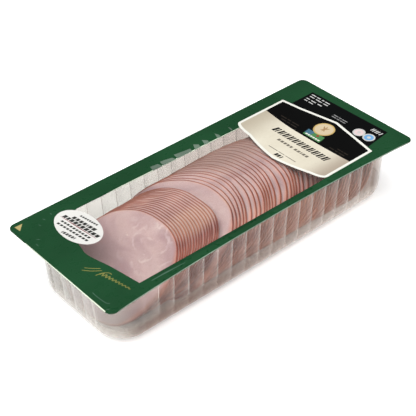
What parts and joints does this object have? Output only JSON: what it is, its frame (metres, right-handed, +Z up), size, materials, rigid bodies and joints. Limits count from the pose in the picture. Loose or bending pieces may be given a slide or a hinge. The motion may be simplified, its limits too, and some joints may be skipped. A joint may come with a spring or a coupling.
{
  "type": "sliced smoked ham pack",
  "caption": "Shallow clear fluted tray of shingled round smoked ham slices, sealed under a green printed film with a clear window and a shield-shaped label",
  "frame": {"origin": "on the surface that the tray stands on, under the middle of the pack", "axes": "+X along the pack to the end with the shield label, +Y to the straight long side, +Z up"},
  "size_m": [0.312, 0.13, 0.0567],
  "materials": {
    "clear_tray": "clear thin plastic",
    "printed_film": "dark green print on clear film",
    "label_paper": "satin cream print",
    "ham": "moist marbled pink meat"
  },
  "bodies": {
    "root": {"tray": "clear_tray", "lid_film": "printed_film", "shield_label": "label_paper", "oval_label": "label_paper", "ham_slice_01": "ham", "ham_slice_02": "ham", "ham_slice_03": "ham", "ham_slice_04": "ham", "ham_slice_05": "ham", "ham_slice_06": "ham", "ham_slice_07": "ham", "ham_slice_08": "ham", "ham_slice_09": "ham", "ham_slice_10": "ham", "ham_slice_11": "ham", "ham_slice_12": "ham", "ham_slice_13": "ham", "ham_slice_14": "ham", "ham_slice_15": "ham", "ham_slice_16": "ham", "ham_slice_17": "ham", "ham_slice_18": "ham", "ham_slice_19": "ham", "ham_slice_20": "ham", "ham_slice_21": "ham", "ham_slice_22": "ham", "ham_slice_23": "ham", "ham_slice_24": "ham", "ham_slice_25": "ham", "ham_slice_26": "ham", "ham_slice_27": "ham", "ham_slice_28": "ham", "ham_slice_29": "ham", "ham_slice_30": "ham", "ham_slice_31": "ham", "ham_slice_32": "ham", "ham_slice_33": "ham", "ham_slice_34": "ham", "ham_slice_35": "ham", "ham_slice_36": "ham", "ham_slice_37": "ham", "ham_slice_38": "ham", "ham_slice_39": "ham", "ham_slice_40": "ham", "ham_slice_41": "ham", "ham_slice_42": "ham", "ham_slice_43": "ham", "ham_slice_44": "ham", "ham_slice_45": "ham", "ham_slice_46": "ham", "ham_slice_47": "ham", "ham_slice_48": "ham", "ham_slice_49": "ham", "ham_slice_50": "ham", "ham_slice_51": "ham", "ham_slice_52": "ham", "ham_slice_53": "ham", "ham_slice_54": "ham"}
  },
  "joints": []
}
